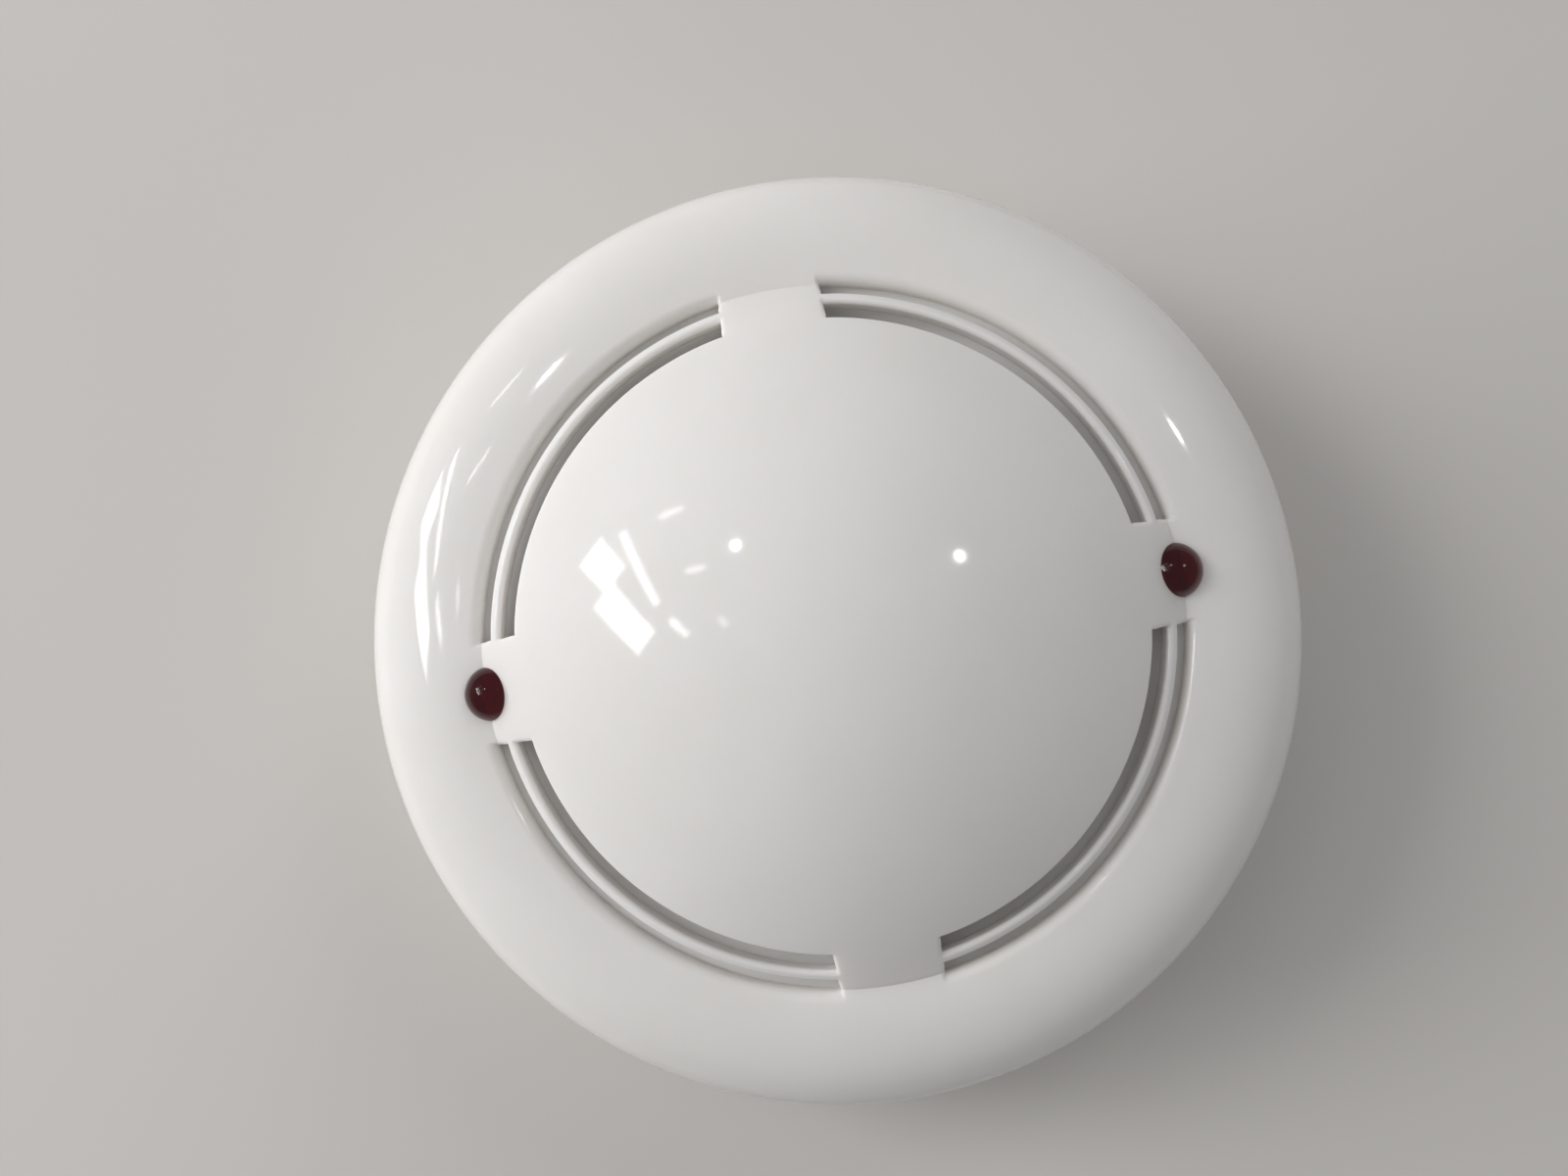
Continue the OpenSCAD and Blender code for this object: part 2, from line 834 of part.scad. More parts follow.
// Row of legs along both long sides of one chip
module legs_of(at, size, count) {
    for (i = [0 : count - 1], s = [-1, 1])
        translate([
            at[0] + (i - (count - 1) / 2) * leg_pitch,
            at[1] + s * (size[1] + chip_leg[1]) / 2,
            board_top
        ])
            translate([-chip_leg[0] / 2, -chip_leg[1] / 2, 0])
                cube(chip_leg);
}

module chip_legs() {
    color("#c4c7ca") {
        legs_of(controller_at, controller_size, 8);
        legs_of(comparator_at, comparator_size, 4);
    }
}

module bridge_rectifier() {
    color("#2b2c2e") {
        on_board(rectifier_at, rectifier_size);
        for (s = [-1, 1], t = [-1, 1])
            on_board(
                rectifier_at + [s * rectifier_leg_at[0], t * rectifier_leg_at[1]],
                rectifier_leg
            );
    }
}

module surge_suppressor() {
    color("#303134") {
        on_board(suppressor_at, suppressor_size);
        on_board(suppressor_at, suppressor_leg);
    }
}

module smoothing_capacitor() {
    color("#9ea3a8")
        translate([can_at[0], can_at[1], board_top]) {
            cylinder(h = can_h, d = can_d);
            translate([-can_d / 2, -can_d / 2, 0])
                cube([can_d, can_d, can_foot_h]);
        }
}

module line_capacitor() {
    color("#c88a3c")
        on_board(line_capacitor_at, line_capacitor_size);
}

module chip_resistors() {
    color("#1f2326")
        for (i = [0 : 4], s = [-1, 1])
            on_board(
                [resistor_start_x + resistor_pitch * i, s * resistor_row_y],
                resistor_size
            );
}

// Glass reed capsule lying on its two bent leads
module test_reed_switch() {
    color("#8fa79c")
        translate([reed_at[0], reed_at[1], board_top + reed_lift + reed_d / 2])
            rotate([0, 90, 0]) {
                translate([0, 0, -(reed_l - reed_d) / 2])
                    cylinder(h = reed_l - reed_d, d = reed_d);
                for (s = [-1, 1])
                    translate([0, 0, s * (reed_l - reed_d) / 2])
                        sphere(d = reed_d);
            }
}

module reed_leads() {
    axis_z = board_top + reed_lift + reed_d / 2;
    color("#c4c7ca")
        for (s = [-1, 1])
            translate([reed_at[0] + s * (reed_l / 2 + reed_lead / 2), reed_at[1], 0]) {
                translate([0, 0, axis_z])
                    rotate([0, 90, 0])
                        cylinder(h = reed_lead, d = wire_d, center = true);
                translate([s * reed_lead / 2, 0, axis_z])
                    sphere(d = wire_d);
                translate([s * reed_lead / 2, 0, board_top])
                    cylinder(h = axis_z - board_top, d = wire_d);
            }
}

mounting_base();
contact_spring(1);  // contact_spring_1
contact_spring(2);  // contact_spring_2
contact_spring(3);  // contact_spring_3
contact_spring(4);  // contact_spring_4
clamp_plate(1);  // clamp_plate_1
clamp_plate(2);  // clamp_plate_2
clamp_plate(3);  // clamp_plate_3
clamp_plate(4);  // clamp_plate_4
terminal_screws();
cover();
chassis();
cover_screws();
contact_blade(1);  // contact_blade_1
contact_blade(2);  // contact_blade_2
contact_blade(3);  // contact_blade_3
contact_blade(4);  // contact_blade_4
blade_rivets();
circuit_board();
board_screws();
sensor_baffle();
sensing_thermistor();
sensing_leads();
reference_thermistor();
reference_leads();
indicator_diode(-1);  // led_left
indicator_diode(1);  // led_right
indicator_lens(-1);  // lens_left
indicator_lens(1);  // lens_right
controller_chip();
comparator_chip();
chip_legs();
bridge_rectifier();
surge_suppressor();
smoothing_capacitor();
line_capacitor();
chip_resistors();
test_reed_switch();
reed_leads();
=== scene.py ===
"""A plug-in heat detector, dressed and lit on a pale floor.

Metres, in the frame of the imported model: the mounting face lies on z = 0, the domed
cap points up, and the two indicator lenses lie on the X axis. Lengths whose names end
in _mm are millimetres, which the mesh code turns to metres at the end.
"""

import math

import bmesh
import bpy
from mathutils import Matrix, Quaternion, Vector


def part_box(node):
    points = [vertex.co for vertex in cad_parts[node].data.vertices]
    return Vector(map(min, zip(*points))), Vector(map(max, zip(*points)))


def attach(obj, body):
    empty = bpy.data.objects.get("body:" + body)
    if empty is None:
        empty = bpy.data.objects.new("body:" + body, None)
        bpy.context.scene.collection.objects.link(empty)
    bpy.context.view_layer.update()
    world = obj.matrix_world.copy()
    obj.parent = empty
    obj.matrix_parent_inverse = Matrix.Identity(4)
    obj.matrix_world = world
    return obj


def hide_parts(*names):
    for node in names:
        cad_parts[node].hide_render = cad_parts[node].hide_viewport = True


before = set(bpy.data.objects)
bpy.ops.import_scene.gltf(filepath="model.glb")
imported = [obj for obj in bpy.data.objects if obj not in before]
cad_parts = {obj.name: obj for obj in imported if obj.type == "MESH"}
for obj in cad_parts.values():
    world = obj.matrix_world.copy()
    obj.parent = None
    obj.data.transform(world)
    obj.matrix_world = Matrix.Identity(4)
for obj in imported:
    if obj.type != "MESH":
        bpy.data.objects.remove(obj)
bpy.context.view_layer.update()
MM = 0.001


# ---- Sizes of the cover, in millimetres ----

RIM_R_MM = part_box("cover")[1].x / MM
REAR_Z_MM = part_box("cover")[0].z / MM
APEX_Z_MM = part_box("cover")[1].z / MM
RIM_Z_MM = REAR_Z_MM + 10.4
CREST_Z_MM = RIM_Z_MM + 8.5
CREST_R_MM = RIM_R_MM - 13
ROLL_POWER = 2.2
# Points of the roll's section, and how much they crowd towards the crest
ROLL_STEPS = 72
ROLL_CROWDING = 1.6
REAR_INSET_MM = 1.8
COVER_WALL_MM = 2.0
FLOOR_T_MM = 1.6

CAP_CURVE_MM = 62.0
CAP_CENTRE_MM = APEX_Z_MM - CAP_CURVE_MM
CREASE_R_MM = 37.47
DOME_R_MM = 33.2
CAP_WALL_MM = 2.0

BRIDGE_HALF_MM = 5.6
LOUVRE_IN_MM = 35.15
LOUVRE_OUT_MM = 36.3
SLOT_R_MM = 37.75
GROOVE_Z_MM = CREST_Z_MM - 2.0
LOUVRE_Z_MM = GROOVE_Z_MM + 0.8
FLOOR_Z_MM = GROOVE_Z_MM - FLOOR_T_MM
CHAMBER_R_MM = 30.5
ROOT_R_MM = 31.2

# How far the level top of the body dips towards the crease, per square millimetre
CREASE_DIP = 0.02
# Where the moulded cap steps to a slightly flatter slope, and by how much
SLOPE_STEPS = ((LOUVRE_IN_MM, 0.03), (LOUVRE_OUT_MM + 0.1, 0.06))


# ---- Small helpers for meshes ----


def cap_height(r):
    """Height of the cap's outside at radius r."""
    z = CAP_CENTRE_MM + math.sqrt(CAP_CURVE_MM**2 - r**2)
    for start, flatter in SLOPE_STEPS:
        z += flatter * max(0.0, r - start)
    return z


def top_height(r):
    """Height of the cover's front at radius r, from the centre to the crest."""
    if r <= CREASE_R_MM:
        return cap_height(r)
    return CREST_Z_MM - CREASE_DIP * max(0.0, CREST_R_MM - r) ** 2


def under_cap(r):
    """Height of the cap's inside at radius r."""
    return CAP_CENTRE_MM + math.sqrt((CAP_CURVE_MM - CAP_WALL_MM) ** 2 - r**2)


def spaced(a, b, n):
    """n + 1 values from a to b."""
    return [a + (b - a) * i / n for i in range(n + 1)]


def arc(centre, radius, a, b, n):
    """Points of an arc in the section plane, angles in degrees."""
    return [
        (
            centre[0] + radius * math.cos(math.radians(t)),
            centre[1] + radius * math.sin(math.radians(t)),
        )
        for t in spaced(a, b, n)
    ]


def add_grid(bm, rows, closed=False):
    """Quads between rows of equally many points, given in millimetres."""
    made = [[bm.verts.new(Vector(p) * MM) for p in row] for row in rows]
    count = len(made[0])
    for low, high in zip(made, made[1:]):
        for j in range(count if closed else count - 1):
            k = (j + 1) % count
            bm.faces.new((low[j], low[k], high[k], high[j]))


def finished(bm, name, material, sharp_deg=32, weld=2e-6):
    """The mesh as an object, welded, facing outwards and smooth between sharp edges."""
    bmesh.ops.remove_doubles(bm, verts=bm.verts, dist=weld)
    bmesh.ops.dissolve_degenerate(bm, edges=bm.edges, dist=weld / 4)
    bmesh.ops.recalc_face_normals(bm, faces=bm.faces)
    mesh = bpy.data.meshes.new(name)
    bm.to_mesh(mesh)
    bm.free()
    mesh.shade_smooth()
    mesh.set_sharp_from_angle(angle=math.radians(sharp_deg))
    mesh.materials.append(material)
    obj = bpy.data.objects.new(name, mesh)
    bpy.context.scene.collection.objects.link(obj)
    return obj


def turned(profile, steps):
    """Rows of points that turn a section about the axis."""
    return [
        [
            (
                r * math.cos(2 * math.pi * j / steps),
                r * math.sin(2 * math.pi * j / steps),
                z,
            )
            for j in range(steps)
        ]
        for r, z in profile
    ]


# ---- Cover: columns and rows ----

# Lateral distances from a bridge's middle, and the ones of the slot's end wall and margin
BRIDGE_STEPS_MM = [0, 1.0, 2.0, 3.0, 3.9, 4.6, 5.1, 5.35, 5.6, 5.85, 6.2, 6.7, 7.3, 8.0]
MARGIN_COLUMN = BRIDGE_STEPS_MM.index(5.1)
WALL_COLUMN = BRIDGE_STEPS_MM.index(BRIDGE_HALF_MM)
WINDOW_STEPS = 52
FAN_IN_MM, FAN_OUT_MM = 33.0, CREST_R_MM


def column_list():
    """(quadrant, lateral distance, share of the window, mirrored) of every column in turn."""
    columns = []
    for quadrant in range(4):
        columns += [(quadrant, v, 0.0, False) for v in BRIDGE_STEPS_MM]
        columns += [
            (quadrant, BRIDGE_STEPS_MM[-1], k / WINDOW_STEPS, False)
            for k in range(1, WINDOW_STEPS)
        ]
        columns += [(quadrant, v, 0.0, True) for v in reversed(BRIDGE_STEPS_MM[1:])]
    return columns


COLUMNS = column_list()
PER_QUADRANT = len(COLUMNS) // 4


def angle_of(r, column):
    """Angle of a column at radius r. Its line is parallel to the bridge between the fans."""
    quadrant, lateral, share, mirrored = column
    edge = math.asin(lateral / min(max(r, FAN_IN_MM), FAN_OUT_MM))
    if mirrored:
        return math.pi / 2 * (quadrant + 1) - edge
    return math.pi / 2 * quadrant + edge + share * (math.pi / 2 - 2 * edge)


def place(r, j, z):
    """Point of column j at radius r and height z."""
    t = angle_of(r, COLUMNS[j % len(COLUMNS)])
    return (r * math.cos(t), r * math.sin(t), z)


# ---- Cover: slots with rounded edges ----


class Slot:
    """One arc-shaped slot in one window: its walls, its margins and its edge radii."""

    def __init__(self, quadrant, inner, outer, inner_edge, outer_edge, margins):
        self.start = quadrant * PER_QUADRANT
        self.inner, self.outer = inner, outer
        self.inner_edge, self.outer_edge = inner_edge, outer_edge
        self.low, self.high = inner - margins[0], outer + margins[1]
        self.first = self.start + MARGIN_COLUMN
        self.last = self.start + PER_QUADRANT - MARGIN_COLUMN
        self.wall_first = self.start + WALL_COLUMN
        self.wall_last = self.start + PER_QUADRANT - WALL_COLUMN
        self.top = {}


# Radii of the rounded edges at the slots' sides and ends
INNER_SLOT_EDGES_MM = (0.3, 0.42)
OUTER_SLOT_EDGE_MM = 0.2
END_EDGE_MM = 0.45
# How far from a corner the roundings of the side and the end ease into each other
CORNER_BLEND_MM = 1.3
FILLET_STEPS = 6
# Width of the margin inside and outside of each slot, where its rounding starts
INNER_MARGINS_MM = (0.22, 0.74)
OUTER_MARGINS_MM = (0.14, CREST_R_MM - SLOT_R_MM)
LIP_R_MM = 1.2
# Rows of the cap between the louvre and the crease, and the two rows that hold the crease
CAP_EDGE_ROWS_MM = [36.7, 37.1]
CREASE_HALF_MM = 0.06
# Radii nearer than this are one row
SAME_MM = 1e-6


def make_slots():
    """The inner and the outer slot of each of the four windows."""
    slots = []
    for quadrant in range(4):
        slots.append(
            Slot(quadrant, DOME_R_MM, LOUVRE_IN_MM, *INNER_SLOT_EDGES_MM, INNER_MARGINS_MM)
        )
        slots.append(
            Slot(
                quadrant,
                LOUVRE_OUT_MM,
                SLOT_R_MM,
                OUTER_SLOT_EDGE_MM,
                LIP_R_MM,
                OUTER_MARGINS_MM,
            )
        )
    return slots


SLOTS = make_slots()


def front_rows():
    """Radii of the rows of the cover's front, from near the centre to the crest."""
    inner, outer = SLOTS[0], SLOTS[1]
    rows = spaced(0.0, inner.low, 40)[1:]
    rows += [(inner.low + inner.inner) / 2, inner.inner]
    rows += spaced(inner.inner, inner.outer, 4)[1:]
    rows += [(inner.outer + inner.high) / 2, inner.high]
    rows += [outer.low, (outer.low + outer.inner) / 2, outer.inner]
    rows += CAP_EDGE_ROWS_MM
    rows += [CREASE_R_MM - CREASE_HALF_MM, CREASE_R_MM + CREASE_HALF_MM, outer.outer]
    rows += spaced(outer.outer, outer.high, 4)[1:]
    return rows


ROWS = front_rows()


def rows_from(low, high):
    """The rows between two radii, both ends included."""
    return [r for r in ROWS if low - SAME_MM <= r <= high + SAME_MM]


def rim_of(slot):
    """Points of the margin round a slot, in turn, as (radius, column)."""
    radii = rows_from(slot.low, slot.high)
    across = range(slot.first, slot.last)
    rim = [(radii[0], j) for j in across]
    rim += [(r, slot.last) for r in radii[:-1]]
    rim += [(radii[-1], j) for j in range(slot.last, slot.first, -1)]
    rim += [(r, slot.first) for r in reversed(radii[1:])]
    return rim


def edge_point(slot, r, j):
    """Where a margin point's rounding meets the slot's wall, as (radius, column)."""
    return (
        min(max(r, slot.inner), slot.outer),
        min(max(j, slot.wall_first), slot.wall_last),
    )


def plan(r, j):
    """Column j at radius r, seen in plan."""
    return Vector(place(r, j, 0.0)[:2])


def fillet(slot, r, j):
    """Rounding from one margin point down to the wall: plan vectors and its heights."""
    q_r, q_j = edge_point(slot, r, j)
    foot, margin = plan(q_r, q_j), plan(r, j)
    out = (margin - foot).normalized()
    radial = abs(out.dot(foot.normalized())) ** 2
    side_edge = slot.inner_edge if r <= slot.inner else slot.outer_edge
    radius = side_edge * radial + END_EDGE_MM * (1 - radial)
    z_foot = top_height(foot.length)
    slope = (top_height((foot + out * radius).length) - z_foot) / radius
    tilt = math.atan(slope)
    centre_z = z_foot + slope * radius - radius * math.hypot(1, slope)
    turns = spaced(tilt, math.pi / 2, FILLET_STEPS)
    return {
        "foot": foot,
        "out": out,
        "key": (q_r, q_j),
        "corner": q_r in (slot.inner, slot.outer)
        and q_j in (slot.wall_first, slot.wall_last),
        "steps": [radius * (1 - math.sin(t)) for t in turns],
        "heights": [centre_z + radius * math.cos(t) for t in turns],
    }


def settle_corners(slot, fillets):
    """Brings the feet of the roundings to one height at each corner, and eases them near it."""
    corners = {}
    for f in fillets:
        if f["corner"]:
            corners.setdefault(f["key"], []).append(f["heights"][-1])
    level = {key: (min(z) + max(z)) / 2 for key, z in corners.items()}
    for f in fillets:
        top, foot = f["heights"][0], f["heights"][-1]
        target, weight = foot, 0.0
        for key, z in level.items():
            gap = (plan(*key) - f["foot"]).length / CORNER_BLEND_MM
            near = max(0.0, 1 - gap)
            if near > weight:
                weight, target = near, z
        ease = weight * weight * (3 - 2 * weight)
        new = foot + (target - foot) * ease
        scale = (new - top) / (foot - top)
        f["heights"] = [top + (z - top) * scale for z in f["heights"]]
        slot.top[f["key"]] = f["heights"][-1]


def add_rounding(bm, slot):
    """The rounded edge all round a slot."""
    rim = rim_of(slot)
    fillets = [fillet(slot, r, j) for r, j in rim]
    settle_corners(slot, fillets)
    rings = [[place(r, j, top_height(r)) for r, j in rim]]
    for k in range(FILLET_STEPS + 1):
        ring = []
        for f in fillets:
            spot = f["foot"] + f["out"] * f["steps"][k]
            ring.append((spot.x, spot.y, f["heights"][k]))
        rings.append(ring)
    add_grid(bm, rings, closed=True)


def in_slot(r, j):
    """Whether the cell outwards of radius r and after column j lies in a slot's margin."""
    return any(
        s.low - SAME_MM <= r < s.high - SAME_MM and s.first <= j < s.last
        for s in SLOTS
    )


# ---- Cover: its surfaces ----


def add_front(bm):
    """Dome, bridges, louvre top and the level top of the body, without the slots."""
    radii = [0.0] + ROWS
    for low, high in zip(radii, radii[1:]):
        for j in range(len(COLUMNS)):
            if not in_slot(low, j):
                add_grid(
                    bm,
                    [
                        [place(low, j + s, top_height(low)) for s in (0, 1)],
                        [place(high, j + s, top_height(high)) for s in (0, 1)],
                    ],
                )


def wall(bm, r, columns, levels):
    """Upright wall at radius r. levels holds heights, or slots whose edge gives them."""
    add_grid(
        bm,
        [
            [place(r, j, z.top[(r, j)] if isinstance(z, Slot) else z) for j in columns]
            for z in levels
        ],
    )


def end_wall(bm, j, radii, levels):
    """Flat wall of a bridge at column j, with one row of points for each level."""
    rows = []
    for z in levels:
        row = []
        for r in radii:
            if isinstance(z, Slot):
                height = z.top[(r, j)]
            else:
                height = under_cap(r) if z is under_cap else z
            row.append(place(r, j, height))
        rows.append(row)
    add_grid(bm, rows)


def flat(bm, radii, columns, z):
    """Level sheet over some radii and columns."""
    add_grid(bm, [[place(r, j, z) for j in columns] for r in radii])


def add_window(bm, inner, outer):
    """Walls, floor, louvre and dome edge of one window."""
    columns = range(inner.wall_first, inner.wall_last + 1)
    dome_foot = under_cap(DOME_R_MM)
    root = spaced(ROOT_R_MM, DOME_R_MM, 3)
    slot_in = rows_from(DOME_R_MM, LOUVRE_IN_MM)
    ring = rows_from(LOUVRE_IN_MM, LOUVRE_OUT_MM)
    slot_out = rows_from(LOUVRE_OUT_MM, SLOT_R_MM)

    wall(bm, DOME_R_MM, columns, (dome_foot, inner))
    wall(bm, LOUVRE_IN_MM, columns, (LOUVRE_Z_MM, dome_foot, inner))
    wall(bm, LOUVRE_OUT_MM, columns, (LOUVRE_Z_MM, outer))
    wall(bm, SLOT_R_MM, columns, (GROOVE_Z_MM, LOUVRE_Z_MM, outer))
    flat(bm, ring, columns, LOUVRE_Z_MM)
    flat(bm, root + slot_in[1:] + ring[1:] + slot_out[1:], columns, GROOVE_Z_MM)
    add_grid(bm, [[place(r, j, under_cap(r)) for j in columns] for r in root])
    for j in (inner.wall_first, inner.wall_last):
        end_wall(bm, j, root, (GROOVE_Z_MM, LOUVRE_Z_MM, under_cap))
        end_wall(bm, j, slot_in, (GROOVE_Z_MM, LOUVRE_Z_MM, dome_foot, inner))
        end_wall(bm, j, ring, (GROOVE_Z_MM, LOUVRE_Z_MM))
        end_wall(bm, j, slot_out, (GROOVE_Z_MM, LOUVRE_Z_MM, outer))


def add_bridge_roots(bm):
    """Inner end faces of the bridges, the dome's inside and the floor's inner ring."""
    levels = (GROOVE_Z_MM, LOUVRE_Z_MM, under_cap(ROOT_R_MM))
    for quadrant in range(4):
        first = quadrant * PER_QUADRANT - WALL_COLUMN
        columns = range(first, first + 2 * WALL_COLUMN + 1)
        add_grid(bm, [[place(ROOT_R_MM, j, z) for j in columns] for z in levels])
    everywhere = range(len(COLUMNS) + 1)
    inside = spaced(0.0, ROOT_R_MM, 16)
    add_grid(bm, [[place(r, j, under_cap(r)) for j in everywhere] for r in inside])
    flat(bm, (CHAMBER_R_MM, ROOT_R_MM), everywhere, GROOVE_Z_MM)


def roll_points(width, height, turns):
    """Section of the rolled body at the given turns, 0 at the rim and 90 at the crest."""
    return [
        (
            CREST_R_MM + width * math.cos(math.radians(t)) ** (2 / ROLL_POWER),
            RIM_Z_MM + height * math.sin(math.radians(t)) ** (2 / ROLL_POWER),
        )
        for t in turns
    ]


def body_section():
    """Section from the chamber's edge under the floor, round the body, to the crest."""
    rise = RIM_Z_MM - REAR_Z_MM
    curve = (REAR_INSET_MM**2 + rise**2) / (2 * REAR_INSET_MM)
    centre = (RIM_R_MM - curve, RIM_Z_MM)
    inner = curve - COVER_WALL_MM
    width = RIM_R_MM - CREST_R_MM
    height = CREST_Z_MM - RIM_Z_MM
    lead_in = 0.35
    section = [(CHAMBER_R_MM, GROOVE_Z_MM), (CHAMBER_R_MM, FLOOR_Z_MM)]
    section += [(SLOT_R_MM + COVER_WALL_MM, FLOOR_Z_MM)]
    section += roll_points(
        width - COVER_WALL_MM, height - COVER_WALL_MM, spaced(84, 4, 20)
    )
    section += arc(centre, inner, 0, -math.degrees(math.asin(rise / inner)), 10)
    rear = arc(centre, curve, -math.degrees(math.asin(rise / curve)), 0, 20)
    section += arc(
        (rear[0][0] - lead_in, rear[0][1] + lead_in), lead_in, -90, -15, 5
    )
    section += rear[1:]
    shares = [k / ROLL_STEPS for k in range(1, ROLL_STEPS)]
    turns = [90 * (1 - (1 - share) ** ROLL_CROWDING) for share in shares]
    section += roll_points(width, height, turns)
    return section + [(CREST_R_MM, top_height(CREST_R_MM))]


def make_cover(material):
    """Moulded cover: rolled body, groove, bridges, louvre ring and domed cap in one piece."""
    bm = bmesh.new()
    for slot in SLOTS:
        add_rounding(bm, slot)
    add_front(bm)
    for inner, outer in zip(SLOTS[::2], SLOTS[1::2]):
        add_window(bm, inner, outer)
    add_bridge_roots(bm)
    everywhere = range(len(COLUMNS) + 1)
    add_grid(bm, [[place(r, j, z) for j in everywhere] for r, z in body_section()])
    cover = finished(bm, "cover_moulding", material)
    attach(cover, "head")
    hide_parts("cover")


# ---- Lenses ----

LENS_R_MM = 3.05
LENS_CENTRE_Z_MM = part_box("lens_right")[1].z / MM - LENS_R_MM
LENS_FOOT_Z_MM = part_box("lens_right")[0].z / MM
LENS_AT_MM = (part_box("lens_right")[0].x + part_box("lens_right")[1].x) / 2 / MM
FLANGE_R_MM = LENS_R_MM + 1.0
FLANGE_T_MM = 1.0
LENS_SIDES = {"lens_left": -1, "lens_right": 1}


def lens_section():
    """Section of a light pipe: polished foot, locating flange, shank and domed end."""
    edge = 0.15
    under, over = FLOOR_Z_MM - FLANGE_T_MM, FLOOR_Z_MM
    section = [(0.0, LENS_FOOT_Z_MM), (LENS_R_MM - edge, LENS_FOOT_Z_MM)]
    section += [(LENS_R_MM, LENS_FOOT_Z_MM + edge), (LENS_R_MM, under)]
    section += [(FLANGE_R_MM - edge, under), (FLANGE_R_MM, under + edge)]
    section += [(FLANGE_R_MM, over - edge), (FLANGE_R_MM - edge, over)]
    section += [(LENS_R_MM, over)]
    section += arc((0.0, LENS_CENTRE_Z_MM), LENS_R_MM, 0, 90, 28)
    return section


def make_lens(name, side, material):
    """Dark red light pipe with a domed end."""
    bm = bmesh.new()
    add_grid(bm, turned(lens_section(), 72), closed=True)
    bmesh.ops.translate(bm, verts=bm.verts, vec=(side * LENS_AT_MM * MM, 0, 0))
    lens = finished(bm, name + "_pipe", material)
    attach(lens, "head")
    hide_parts(name)


# ---- Materials ----


def linear(hex_colour):
    """Linear colour, with alpha 1, of an sRGB hex value."""
    channels = [int(hex_colour[i : i + 2], 16) / 255 for i in (1, 3, 5)]
    return [
        c / 12.92 if c <= 0.04045 else ((c + 0.055) / 1.055) ** 2.4 for c in channels
    ] + [1.0]


def add_node(tree, kind, inputs=None, **settings):
    """Adds a node. inputs gives its sockets values, or other nodes' sockets to link."""
    made = tree.nodes.new("ShaderNode" + kind)
    for name, value in settings.items():
        setattr(made, name, value)
    for key, value in (inputs or {}).items():
        if isinstance(value, bpy.types.NodeSocket):
            tree.links.new(value, made.inputs[key])
        else:
            made.inputs[key].default_value = value
    return made


def new_material(name):
    """A material with an empty tree: its tree, its object coordinates and its shader."""
    material = bpy.data.materials.new(name)
    material.use_nodes = True
    tree = material.node_tree
    tree.nodes.clear()
    shader = add_node(tree, "BsdfPrincipled")
    output = add_node(tree, "OutputMaterial")
    tree.links.new(shader.outputs["BSDF"], output.inputs["Surface"])
    coords = add_node(tree, "TexCoord").outputs["Object"]
    return material, tree, coords, shader


def per_mm(size_mm):
    """Texture scale that repeats a pattern every size_mm."""
    return 1 / (size_mm * MM)


def noise(tree, coords, size_mm, detail=2.0, roughness=0.5):
    """Noise of that grain size, from 0 to 1."""
    return add_node(
        tree,
        "TexNoise",
        {
            "Vector": coords,
            "Scale": per_mm(size_mm),
            "Detail": detail,
            "Roughness": roughness,
        },
    ).outputs["Fac"]


def between(tree, value, low, high, start=0.35, end=0.65):
    """Maps a pattern from start..end to low..high, without going past them."""
    return add_node(
        tree,
        "MapRange",
        {"Value": value, "From Min": start, "From Max": end, "To Min": low, "To Max": high},
    ).outputs["Result"]


def blend(tree, share, first, second):
    """Colour that goes from the first to the second as share goes from 0 to 1."""
    mixed = add_node(tree, "Mix", data_type="RGBA")
    # Sockets of a colour mix by number: share, first colour, second colour
    for socket, value in ((0, share), (6, first), (7, second)):
        if isinstance(value, bpy.types.NodeSocket):
            tree.links.new(value, mixed.inputs[socket])
        else:
            mixed.inputs[socket].default_value = value
    return mixed.outputs[2]


def relief(tree, shader, height, depth_mm, normal=None):
    """Bump of that depth on the shader, or on top of an earlier bump."""
    inputs = {"Height": height, "Strength": 1.0, "Distance": depth_mm * MM}
    if normal is not None:
        inputs["Normal"] = normal
    bump = add_node(tree, "Bump", inputs)
    tree.links.new(bump.outputs["Normal"], shader.inputs["Normal"])
    return bump.outputs["Normal"]


